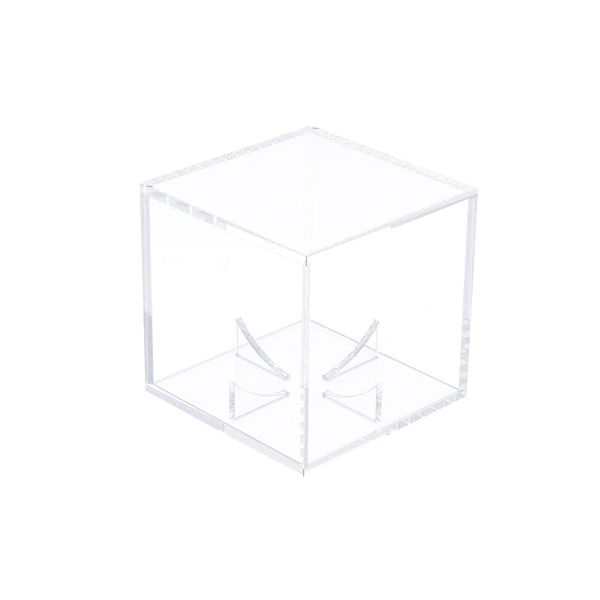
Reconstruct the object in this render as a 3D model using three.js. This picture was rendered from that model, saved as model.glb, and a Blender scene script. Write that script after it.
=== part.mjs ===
// Clear acrylic display cube for a baseball, a standalone three.js example.
//
// The cube is two halves that slide together. The base half is a floor, a left
// and a right wall, and four fins that cradle the ball. The cover half is a top,
// a front and a back wall, and it lifts straight up off the base half. Inside a
// half, the panels are bonded edge to face; between the halves the upright
// edges are mitred and slide past each other.
//
// Millimetres, +Z up. The origin is the middle of the underside; the front of
// the cube faces -Y and its left side faces -X.

import * as THREE from 'three';

// Overall size
const cubeSide = 82.5; // outside, along X and along Y
const cubeHeight = 81.2; // outside, along Z

// Sheet thicknesses
const wallThickness = 3.2;
const floorThickness = 2.9;
const topThickness = 3.4;
const finThickness = 2.8;

// Ball cradle
const ballRadius = 37; // a regulation baseball
const cradleEase = 2; // how much wider the fins' arc is than the ball
const finInnerRadius = 7.9; // from the cube's axis to the low end of a fin
const finInnerHeight = 1.7; // above the floor, at the low end
const finOuterHeight = 15.6; // above the floor, at the tall end
const cradleArcSteps = 28;

// Clearances
const mitreSetback = 0.15; // each mitred edge stops this far short of its corner
const seatGap = 0.2; // between the base half's walls and the cover's top
const finWallGap = 3.5; // between a fin's tall end and the wall behind it

// Sizes that follow
const halfSide = cubeSide / 2;
const innerHalfSide = halfSide - wallThickness;
const ceiling = cubeHeight - topThickness;
const finOuterRadius = innerHalfSide - finWallGap;
const cradleRadius = ballRadius + cradleEase;

/** Each piece gets a material of its own, so that a viewer can tint one alone. */
function clearAcrylic(tint) {
  return new THREE.MeshStandardMaterial({
    color: tint,
    roughness: 0.04,
    metalness: 0,
    transparent: true,
    opacity: 0.3,
  });
}

function addPiece(parent, name, geometry, tint) {
  const mesh = new THREE.Mesh(geometry, clearAcrylic(tint));
  mesh.name = name;
  parent.add(mesh);
}

/** Extrude an outline of [x, y] corners from one height to another. */
function uprightPrism(outline, bottom, top) {
  const shape = new THREE.Shape(outline.map(([x, y]) => new THREE.Vector2(x, y)));
  const geometry = new THREE.ExtrudeGeometry(shape, { depth: top - bottom, bevelEnabled: false });
  geometry.translate(0, 0, bottom);
  return geometry;
}

/** Lay the X and Y axes of a shape along two given axes, by whole quarter turns. */
function turned(geometry, xAxis, yAxis) {
  const zAxis = new THREE.Vector3().crossVectors(xAxis, yAxis);
  return geometry.applyMatrix4(new THREE.Matrix4().makeBasis(xAxis, yAxis, zAxis));
}

/** The four directions that the walls and fins face, each named by its side. */
const facing = {
  left: new THREE.Vector3(-1, 0, 0),
  right: new THREE.Vector3(1, 0, 0),
  front: new THREE.Vector3(0, -1, 0),
  back: new THREE.Vector3(0, 1, 0),
};
const up = new THREE.Vector3(0, 0, 1);

/** A full-width square plate, the floor or the top. */
function squarePlate(bottom, top) {
  const outline = [
    [-halfSide, -halfSide],
    [halfSide, -halfSide],
    [halfSide, halfSide],
    [-halfSide, halfSide],
  ];
  return uprightPrism(outline, bottom, top);
}

/** A wall mitred at 45 degrees along both upright edges, its outer face facing one side. */
function mitredWall(direction, bottom, top) {
  const outerReach = halfSide - mitreSetback;
  const innerReach = innerHalfSide - mitreSetback;
  const outline = [
    [halfSide, -outerReach],
    [halfSide, outerReach],
    [innerHalfSide, innerReach],
    [innerHalfSide, -innerReach],
  ];
  const across = new THREE.Vector3().crossVectors(up, direction);
  return turned(uprightPrism(outline, bottom, top), direction, across);
}

/** Centre of the circle of a given radius through two points, on the upper side of them. */
function arcCentre(start, end, radius) {
  const chord = end.clone().sub(start);
  const rise = Math.sqrt(radius * radius - chord.lengthSq() / 4);
  const upward = new THREE.Vector2(-chord.y, chord.x).normalize();
  return start.clone().add(end).multiplyScalar(0.5).addScaledVector(upward, rise);
}

/** A cradle fin: flat foot, upright ends and a hollow top edge that curves under the ball. */
function cradleFin(direction) {
  const lowTip = new THREE.Vector2(finInnerRadius, floorThickness + finInnerHeight);
  const highTip = new THREE.Vector2(finOuterRadius, floorThickness + finOuterHeight);
  const centre = arcCentre(lowTip, highTip, cradleRadius);
  const lowAngle = Math.atan2(lowTip.y - centre.y, lowTip.x - centre.x);
  const highAngle = Math.atan2(highTip.y - centre.y, highTip.x - centre.x);

  const profile = [
    new THREE.Vector2(finInnerRadius, floorThickness),
    new THREE.Vector2(finOuterRadius, floorThickness),
    highTip,
  ];
  for (let step = 1; step < cradleArcSteps; step += 1) {
    const angle = THREE.MathUtils.lerp(highAngle, lowAngle, step / cradleArcSteps);
    const onArc = new THREE.Vector2(Math.cos(angle), Math.sin(angle));
    profile.push(onArc.multiplyScalar(cradleRadius).add(centre));
  }
  profile.push(lowTip);

  const geometry = new THREE.ExtrudeGeometry(new THREE.Shape(profile), {
    depth: finThickness,
    bevelEnabled: false,
  });
  geometry.translate(0, 0, -finThickness / 2);
  return turned(geometry, direction, up);
}

function baseHalf() {
  const half = new THREE.Group();
  const wallTop = ceiling - seatGap;
  addPiece(half, 'base_floor', squarePlate(0, floorThickness), 0xeef0fa);
  for (const side of ['left', 'right']) {
    const wall = mitredWall(facing[side], floorThickness, wallTop);
    addPiece(half, `base_${side}_wall`, wall, 0xf1f2fb);
  }
  for (const side of Object.keys(facing)) {
    addPiece(half, `cradle_fin_${side}`, cradleFin(facing[side]), 0xe4e6f4);
  }
  return half;
}

function coverHalf() {
  const half = new THREE.Group();
  addPiece(half, 'cover_top', squarePlate(ceiling, cubeHeight), 0xf3f5fc);
  for (const side of ['front', 'back']) {
    const wall = mitredWall(facing[side], floorThickness, ceiling);
    addPiece(half, `cover_${side}_wall`, wall, 0xf2f4fc);
  }
  return half;
}

const group = new THREE.Group();
group.add(baseHalf(), coverHalf());

export default group;
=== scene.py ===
import math

import bmesh
import bpy
from mathutils import Matrix, Vector


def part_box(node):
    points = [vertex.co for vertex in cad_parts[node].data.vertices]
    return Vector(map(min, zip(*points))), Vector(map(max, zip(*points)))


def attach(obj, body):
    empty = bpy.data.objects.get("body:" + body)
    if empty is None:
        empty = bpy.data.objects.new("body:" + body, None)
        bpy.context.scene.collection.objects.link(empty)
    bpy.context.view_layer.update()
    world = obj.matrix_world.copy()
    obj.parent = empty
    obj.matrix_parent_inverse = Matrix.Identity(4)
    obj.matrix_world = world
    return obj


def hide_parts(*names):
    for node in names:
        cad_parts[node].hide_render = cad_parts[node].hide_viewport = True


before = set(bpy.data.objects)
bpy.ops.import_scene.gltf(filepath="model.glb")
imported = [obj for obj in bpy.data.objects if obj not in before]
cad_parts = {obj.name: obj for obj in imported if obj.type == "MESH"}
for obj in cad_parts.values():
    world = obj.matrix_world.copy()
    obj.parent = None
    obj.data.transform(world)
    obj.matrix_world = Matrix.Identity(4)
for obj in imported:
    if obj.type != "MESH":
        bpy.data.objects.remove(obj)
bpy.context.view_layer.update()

scene = bpy.context.scene
mm = 0.001
weld = 0.0005 * mm  # points closer than this are merged
level = 0.001 * mm  # heights closer than this are the same
quarterTurn = math.pi / 2
polishedSlot, mitreSlot, shadedEdgeSlot = 0, 1, 2  # material slots of a shell
finShadedEdgeSlot = 1  # a fin has no mitres, so its eased edges, with their painted grey shade, come second


def linear(hexColour, alpha=1.0):
    # sRGB hex to the linear values that shaders work in
    channels = [int(hexColour[i:i + 2], 16) / 255 for i in (1, 3, 5)]
    return [c / 12.92 if c <= 0.04045 else ((c + 0.055) / 1.055) ** 2.4 for c in channels] + [alpha]


cameraView = {
    "lens": 114.7,  # mm, a short telephoto
    "sensor": 36,  # mm
    "nearest": 10 * mm,
    "azimuth": 45.66,  # degrees round from straight in front of the left wall
    "elevation": 25.98,
    "roll": 0.65,
    "distance": 674.0,  # mm
    "aim": (-2.55, -3.41),  # mm right of and above the middle of the cube
    "aimHeight": 41.25,  # mm
}


def makeCamera(view):
    azimuth, elevation, roll = (math.radians(view[key]) for key in ("azimuth", "elevation", "roll"))
    back = Vector((-math.cos(azimuth) * math.cos(elevation),
                   -math.sin(azimuth) * math.cos(elevation),
                   math.sin(elevation)))
    right = Vector((0, 0, 1)).cross(back).normalized()
    up = back.cross(right)
    aim = Vector((0, 0, view["aimHeight"])) + right * view["aim"][0] + up * view["aim"][1]
    rolledRight = right * math.cos(roll) + up * math.sin(roll)
    rolledUp = up * math.cos(roll) - right * math.sin(roll)
    camera = bpy.data.objects.new("camera", bpy.data.cameras.new("camera"))
    camera.data.lens = view["lens"]
    camera.data.sensor_width = view["sensor"]
    camera.data.clip_start = view["nearest"]
    axes = Matrix((rolledRight, rolledUp, back)).transposed().to_4x4()
    camera.matrix_world = Matrix.Translation((aim + back * view["distance"]) * mm) @ axes
    scene.collection.objects.link(camera)
    scene.camera = camera


makeCamera(cameraView)
print("camera placed")


floorLow, floorHigh = (Vector(c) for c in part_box("base_floor"))
topLow, topHigh = (Vector(c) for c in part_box("cover_top"))
leftLow, leftHigh = (Vector(c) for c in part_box("base_left_wall"))
frontLow, frontHigh = (Vector(c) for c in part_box("cover_front_wall"))

halfSide = floorHigh.x
wallThickness = leftHigh.x - leftLow.x
mitreSetback = halfSide - leftHigh.y


shell = {
    "cornerRadius": 0.4 * mm,  # upright corners
    "cornerSteps": 4,
    "edgeRound": 0.3 * mm,  # rims of the plates and walls
    "edgeSegments": 3,
    "baseFillet": 0.5 * mm,  # inside corners, floor to wall
    "coverFillet": 0.25 * mm,  # inside corners, top to wall
    "seatAir": 0.04 * mm,  # hairline of air where the cover's walls stand on the floor plate
    "sharp": 0.5,  # radians, a turn between two faces that counts as an edge
    "rimDepth": 0.01 * mm,  # an edge no deeper inside the outline than this is on the rim
    "mitreArea": 50 * mm * mm,  # a slanted face larger than this is a mitre
}


def finishMesh(name, bm):
    # faces stay flat shaded: a normal bent across a clear wall would bend everything seen through it
    bmesh.ops.recalc_face_normals(bm, faces=bm.faces)
    mesh = bpy.data.meshes.new(name)
    bm.to_mesh(mesh)
    bm.free()
    piece = bpy.data.objects.new(name, mesh)
    scene.collection.objects.link(piece)
    return piece


def corner(uSign, vSign, fromAngle, toAngle, steps):
    # points on one rounded upright corner, angles counted from that corner's own u direction
    radius = shell["cornerRadius"]
    middle = halfSide - radius
    points = []
    for step in range(steps + 1):
        angle = math.radians(fromAngle + (toAngle - fromAngle) * step / steps)
        points.append((uSign * (middle + radius * math.cos(angle)),
                       vSign * (middle + radius * math.sin(angle))))
    return points


def shellOutlines():
    # walls stand at +u and -u; an outline runs anticlockwise
    radius, steps = shell["cornerRadius"], shell["cornerSteps"]
    mitreAngle = math.degrees(math.acos(mitreSetback / (radius * math.sqrt(2)))) - 45
    innerU = halfSide - wallThickness
    innerV = innerU - mitreSetback
    wallOuter = corner(1, -1, mitreAngle, 0, steps) + corner(1, 1, 0, mitreAngle, steps)
    rightWall = wallOuter + [(innerU, innerV), (innerU, -innerV)]
    leftWall = [(-u, -v) for u, v in rightWall]
    openSide = corner(1, 1, mitreAngle, 90, steps) + corner(-1, 1, 90, mitreAngle, steps)
    return wallOuter, rightWall, leftWall, openSide


def makeShell(name, plateOuter, plateInner, wallEnd, turn, fillet, filletSlot):
    # a plate with two walls in one closed skin; the plate may be the floor or the top
    wallOuter, rightWall, leftWall, openSide = shellOutlines()
    otherOuter = [(-u, -v) for u, v in wallOuter]
    otherOpen = [(-u, -v) for u, v in openSide]
    rim = wallOuter + openSide[1:] + otherOuter[1:] + otherOpen[1:-1]
    bm = bmesh.new()

    def addFace(points):
        bm.faces.new([bm.verts.new(p) for p in points])

    def addBand(outline, zFrom, zTo):
        for (u0, v0), (u1, v1) in zip(outline, outline[1:] + outline[:1]):
            addFace([(u0, v0, zFrom), (u1, v1, zFrom), (u1, v1, zTo), (u0, v0, zTo)])

    addFace([(u, v, plateOuter) for u, v in rim])
    addBand(rim, plateOuter, plateInner)
    inside = openSide + [leftWall[-1], leftWall[-2]] + otherOpen + [rightWall[-1], rightWall[-2]]
    addFace([(u, v, plateInner) for u, v in inside])
    for wall in (rightWall, leftWall):
        addBand(wall, plateInner, wallEnd)
        addFace([(u, v, wallEnd) for u, v in wall])
    bmesh.ops.remove_doubles(bm, verts=bm.verts, dist=weld)
    bmesh.ops.recalc_face_normals(bm, faces=bm.faces)
    bmesh.ops.rotate(bm, verts=bm.verts, matrix=Matrix.Rotation(turn, 3, "Z"))

    def isLevel(edge, z):
        return all(abs(v.co.z - z) < level for v in edge.verts)

    def isOpenRim(edge):
        # the plate's rim over the other half's walls, which makes the groove of the seam
        if not isLevel(edge, plateInner):
            return False
        reach = halfSide - shell["rimDepth"]
        return any(all(abs(v.co[axis]) > reach for v in edge.verts) for axis in (0, 1))

    rims = [e for e in bm.edges if e.calc_face_angle(0) > shell["sharp"]
            and (isLevel(e, plateOuter) or isLevel(e, wallEnd) or isOpenRim(e))]
    # the rims take the eased edge finish, whose grey colour is painted shade
    bmesh.ops.bevel(bm, geom=rims, offset=shell["edgeRound"], segments=shell["edgeSegments"],
                    profile=0.5, affect="EDGES", clamp_overlap=True, material=shadedEdgeSlot)
    span = 2 * (halfSide - wallThickness - mitreSetback)
    inner = [e for e in bm.edges if isLevel(e, plateInner) and abs(e.calc_length() - span) < level]
    bmesh.ops.bevel(bm, geom=inner, offset=fillet, segments=shell["edgeSegments"],
                    profile=0.5, affect="EDGES", clamp_overlap=True, material=filletSlot)
    # the large slanted faces are the mitres; their saw-cut finish carries a grey painted shade
    for face in bm.faces:
        normal = face.normal
        slanted = abs(normal.z) < 0.01 and abs(abs(normal.x) - abs(normal.y)) < 0.01
        if slanted and face.calc_area() > shell["mitreArea"]:
            face.material_index = mitreSlot
    bmesh.ops.remove_doubles(bm, verts=bm.verts, dist=weld)
    return finishMesh(name, bm)


# the floor's inside fillets take the eased edge finish and so its painted grey shade; the cover's fillets
# stay polished
baseShell = makeShell("base_shell", floorLow.z, floorHigh.z, leftHigh.z, 0,
                      shell["baseFillet"], shadedEdgeSlot)
coverShell = makeShell("cover_shell", topHigh.z, topLow.z, frontLow.z + shell["seatAir"], quarterTurn,
                       shell["coverFillet"], polishedSlot)
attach(baseShell, "base_half")
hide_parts("base_floor", "base_left_wall", "base_right_wall")
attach(coverShell, "cover_half")
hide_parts("cover_top", "cover_front_wall", "cover_back_wall")
print("shells made")


fin = {
    "arcRadius": 39 * mm,  # the hollow top edge, a little wider than a baseball
    "arcSteps": 64,
    "edgeRound": 0.22 * mm,
    "edgeSegments": 2,
    "sharp": 0.6,  # radians; the arc's own steps turn far less
    "footGap": 0.02 * mm,  # air under the foot, which makes it show as a line
}


def finProfile(innerR, outerR, foot, lowZ, highZ):
    chord = Vector((outerR - innerR, highZ - lowZ))
    rise = math.sqrt(fin["arcRadius"] ** 2 - chord.length_squared / 4)
    upward = Vector((-chord.y, chord.x)).normalized()
    centre = Vector((innerR + outerR, lowZ + highZ)) / 2 + upward * rise
    start = math.atan2(highZ - centre.y, outerR - centre.x)
    end = math.atan2(lowZ - centre.y, innerR - centre.x)
    profile = [(innerR, foot), (outerR, foot)]
    for step in range(fin["arcSteps"] + 1):
        angle = start + (end - start) * step / fin["arcSteps"]
        profile.append((centre.x + fin["arcRadius"] * math.cos(angle),
                        centre.y + fin["arcRadius"] * math.sin(angle)))
    return profile


def makeFin(name, turn):
    low, high = (Vector(c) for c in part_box("cradle_fin_right"))
    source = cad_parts["cradle_fin_right"].data
    lowTip = max(v.co.z for v in source.vertices if v.co.x - low.x < 0.01 * mm)
    profile = finProfile(low.x, high.x, low.z + fin["footGap"], lowTip, high.z)
    bm = bmesh.new()
    sides = [bm.faces.new([bm.verts.new((r, y, z)) for r, z in profile]) for y in (low.y, high.y)]
    for near, far in zip(sides[0].edges[:], sides[1].edges[:]):
        bm.faces.new([near.verts[0], near.verts[1], far.verts[1], far.verts[0]])
    bmesh.ops.recalc_face_normals(bm, faces=bm.faces)
    edges = [e for e in bm.edges if e.calc_face_angle(0) > fin["sharp"]]
    # the fin's bevels take the fin edge finish, whose grey colour is painted shade
    bmesh.ops.bevel(bm, geom=edges, offset=fin["edgeRound"], segments=fin["edgeSegments"],
                    profile=0.5, affect="EDGES", clamp_overlap=True, material=finShadedEdgeSlot)
    bmesh.ops.rotate(bm, verts=bm.verts, matrix=Matrix.Rotation(turn, 3, "Z"))
    piece = finishMesh(name, bm)
    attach(piece, "base_half")
    return piece


fins = []
for turns, side in enumerate(("right", "back", "left", "front")):
    piece = makeFin(f"clear_fin_{side}", turns * quarterTurn)
    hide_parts(f"cradle_fin_{side}")
    fins.append(piece)
print("fins made")


def addNode(tree, kind, settings=None, links=None):
    # settings: property or input name to value; links: input name to the socket that feeds it
    node = tree.nodes.new(kind)
    for key, value in (settings or {}).items():
        if key in node.inputs:
            node.inputs[key].default_value = value
        else:
            setattr(node, key, value)
    for key, socket in (links or {}).items():
        tree.links.new(socket, node.inputs[key])
    return node


colourSockets = (6, 7)  # of a mix node set to colours; its float and vector sockets come before
mixedColour = 2  # the output that goes with them


def newTree(name):
    material = bpy.data.materials.new(name)
    material.use_nodes = True
    material.node_tree.nodes.clear()
    return material, material.node_tree


# mould-polished faces: clear as air face on, so that the eye finds them only by their reflections
clearAcrylic = {
    "tint": ("#ffffff", "#fefeff"),  # the flow marks drift from one to the other
    "haze": 0.002,  # share of the light that the skin scatters
    "edgeColour": "#d3d5e2",  # what a long way through the plastic leaves of white
    "edgeDensity": 0.07,  # per metre
    "roughness": (0.0, 0.004),
    "flowSize": 11,  # mm, flow marks of the moulding
    "relief": 0.00002,  # mm, how deep its marks are
    "markSize": (9, 9, 9),  # mm, how far apart they are along each axis
}
# saw-cut mitres: shallow level saw marks, and a grey colour of painted shade that turns the upright corners
# into grey bands
sawnMitrePaintedShade = dict(
    clearAcrylic,
    tint=("#f4f5f8", "#f0f1f4"),
    haze=0.006,
    roughness=(0.015, 0.03),
    flowSize=2,
    relief=0.0006,
    markSize=(6, 6, 0.35),
)
# scraped edges: fine and matte, with a painted grey shade that draws every edge and the floor's inside
# corners as a thin grey line
scrapedEdgePaintedShade = dict(
    clearAcrylic,
    tint=("#aeb1bb", "#969aa3"),
    haze=0.08,
    roughness=(0.18, 0.32),
    flowSize=1.5,
    relief=0.004,
    markSize=(0.5, 0.5, 0.5),
)
# the fins' edges are scraped more lightly and get a paler painted grey shade, so their outlines are paler
finEdgePaintedShade = dict(scrapedEdgePaintedShade, tint=("#d6d9df", "#c2c5cd"), haze=0.05)
acrylicIor = 1.49


def mouldedAcrylic(name, look):
    # clear acrylic (PMMA): colourless face on, faintly violet where light runs along a wall
    material, tree = newTree(name)
    place = addNode(tree, "ShaderNodeTexCoord").outputs["Object"]
    flow = addNode(tree, "ShaderNodeTexNoise", {"Scale": 1 / (look["flowSize"] * mm), "Detail": 3},
                   {"Vector": place}).outputs["Fac"]
    smoothest, roughest = look["roughness"]
    polish = addNode(tree, "ShaderNodeMapRange", {"To Min": smoothest, "To Max": roughest},
                     {"Value": flow})
    # the two colours are the flow marks' tone on polished faces, and painted grey shade on the mitres and
    # eased edges
    tint = addNode(tree, "ShaderNodeMix", {"data_type": "RGBA"}, {"Factor": flow})
    for socket, colour in zip(colourSockets, look["tint"]):
        tint.inputs[socket].default_value = linear(colour)
    spread = addNode(tree, "ShaderNodeVectorMath", {"operation": "DIVIDE"}, {0: place})
    spread.inputs[1].default_value = [size * mm for size in look["markSize"]]
    marks = addNode(tree, "ShaderNodeTexNoise", {"Scale": 1, "Detail": 2},
                    {"Vector": spread.outputs["Vector"]})
    relief = addNode(tree, "ShaderNodeBump", {"Strength": 1, "Distance": look["relief"] * mm},
                     {"Height": marks.outputs["Fac"]})
    body = addNode(tree, "ShaderNodeBsdfPrincipled",
                   {"IOR": acrylicIor, "Transmission Weight": 1 - look["haze"]},
                   {"Base Color": tint.outputs[mixedColour], "Roughness": polish.outputs["Result"],
                    "Normal": relief.outputs["Normal"]})
    depth = addNode(tree, "ShaderNodeVolumeAbsorption",
                    {"Color": linear(look["edgeColour"]), "Density": look["edgeDensity"]})
    addNode(tree, "ShaderNodeOutputMaterial",
            links={"Surface": body.outputs["BSDF"], "Volume": depth.outputs["Volume"]})
    return material


polished = mouldedAcrylic("mould_polished_acrylic", clearAcrylic)
shadedMitre = mouldedAcrylic("saw_cut_acrylic_mitre_painted_shade", sawnMitrePaintedShade)
eased = mouldedAcrylic("scraped_acrylic_edge_painted_shade", scrapedEdgePaintedShade)
finShadedEdge = mouldedAcrylic("scraped_acrylic_fin_edge_painted_shade", finEdgePaintedShade)
for piece in (baseShell, coverShell):
    for finish in (polished, shadedMitre, eased):
        piece.data.materials.append(finish)
for piece in fins:
    for finish in (polished, finShadedEdge):
        piece.data.materials.append(finish)
print("acrylic made")


studio = {
    "floorSize": 6.0,  # m
    "floorDrop": 0.2 * mm,  # air between the sheet and the cube
    "floorColour": "#3f3f40",
    "floorGlow": 1.0,  # a light table: the sheet glows from below, so the cube throws no shadow
    "sideGlow": (0.62, 0.8),  # where it falls off, to the left and to the right
    "sideFrom": (0.12, 0.22),  # m from the middle line, where the falling off starts and ends
    "outerGlow": 0.855,  # far out, as bright as the room, so that no horizon shows
    "outerFrom": (0.3, 0.9),
    "sheetFlare": 8.5,  # degrees that each side opens towards the back
    "room": 0.9,  # brightness of the white room all round
    "roomColour": "#fafafe",
    "shadeColour": "#f4f5fb",  # of the darker places in it
    "darkCamera": 0.3,  # how dark the corner with the camera is, 0 to 1
    "darkRight": 0.03,
    "shadeHeight": 27,  # degrees above the floor
    "shadeReach": (42, 14),  # degrees from its middle, where a shade starts and is full
    "clearBounces": 64,  # light runs a long way inside a clear wall
    "diffuseBounces": 12,
}


def makeFloor():
    bm = bmesh.new()
    bmesh.ops.create_grid(bm, x_segments=8, y_segments=8, size=studio["floorSize"] / 2)
    floor = finishMesh("studio_floor", bm)
    floor.location.z = -studio["floorDrop"]
    material, tree = newTree("white_studio_paper")
    place = addNode(tree, "ShaderNodeTexCoord").outputs["Object"]
    flare = math.radians(studio["sheetFlare"])
    sides = []
    for side, sideGlow in zip((-1, 1), studio["sideGlow"]):
        outward = Vector((side, -side, 0)) * math.cos(flare) - Vector((1, 1, 0)) * math.sin(flare)
        reach = addNode(tree, "ShaderNodeVectorMath", {"operation": "DOT_PRODUCT"}, {0: place})
        reach.inputs[1].default_value = outward.normalized()
        fades = []
        for span, before, after in ((studio["sideFrom"], studio["floorGlow"], sideGlow),
                                    (studio["outerFrom"], sideGlow, studio["outerGlow"])):
            fade = addNode(tree, "ShaderNodeMapRange",
                           {"interpolation_type": "SMOOTHSTEP", "From Min": span[0], "From Max": span[1],
                            "To Min": before, "To Max": after}, {"Value": reach.outputs["Value"]})
            fades.append(fade.outputs["Result"])
        brighter = addNode(tree, "ShaderNodeMath", {"operation": "MAXIMUM"}, dict(enumerate(fades)))
        sides.append(brighter.outputs["Value"])
    glow = addNode(tree, "ShaderNodeMath", {"operation": "MINIMUM"}, dict(enumerate(sides)))
    sheet = addNode(tree, "ShaderNodeBsdfPrincipled",
                    {"Base Color": linear(studio["floorColour"]), "Roughness": 0.9, "Specular IOR Level": 0,
                     "Emission Color": linear("#ffffff")},
                    {"Emission Strength": glow.outputs["Value"]})
    addNode(tree, "ShaderNodeOutputMaterial", links={"Surface": sheet.outputs["BSDF"]})
    floor.data.materials.append(material)


def makeWorld():
    world = bpy.data.worlds.new("studio")
    world.use_nodes = True
    tree = world.node_tree
    tree.nodes.clear()
    ray = addNode(tree, "ShaderNodeTexCoord").outputs["Generated"]

    height = math.radians(studio["shadeHeight"])
    starts, full = (math.cos(math.radians(a)) for a in studio["shadeReach"])
    room = addNode(tree, "ShaderNodeRGB").outputs["Color"]
    room.default_value = linear(studio["roomColour"])
    for east, north, depth in ((-1, -1, "darkCamera"), (1, -1, "darkRight")):
        middle = Vector((east, north, 0)).normalized() * math.cos(height) + Vector((0, 0, math.sin(height)))
        turn = addNode(tree, "ShaderNodeVectorMath", {"operation": "DOT_PRODUCT"}, {0: ray})
        turn.inputs[1].default_value = middle
        shade = addNode(tree, "ShaderNodeMapRange", {"interpolation_type": "SMOOTHSTEP", "From Min": starts,
                        "From Max": full}, {"Value": turn.outputs["Value"]})
        mixed = addNode(tree, "ShaderNodeMix", {"data_type": "RGBA", "blend_type": "MULTIPLY"})
        tree.links.new(shade.outputs["Result"], mixed.inputs["Factor"])
        tree.links.new(room, mixed.inputs[colourSockets[0]])
        shadeColour = [c * (1 - studio[depth]) for c in linear(studio["shadeColour"])]
        mixed.inputs[colourSockets[1]].default_value = shadeColour
        room = mixed.outputs[mixedColour]
    sky = addNode(tree, "ShaderNodeBackground", {"Strength": studio["room"]}, {"Color": room})
    addNode(tree, "ShaderNodeOutputWorld", links={"Surface": sky.outputs["Background"]})
    scene.world = world


makeFloor()
makeWorld()
scene.view_settings.view_transform = "Standard"
for bounces in ("max_bounces", "transmission_bounces", "glossy_bounces"):
    setattr(scene.cycles, bounces, studio["clearBounces"])
scene.cycles.diffuse_bounces = studio["diffuseBounces"]
print("studio made")
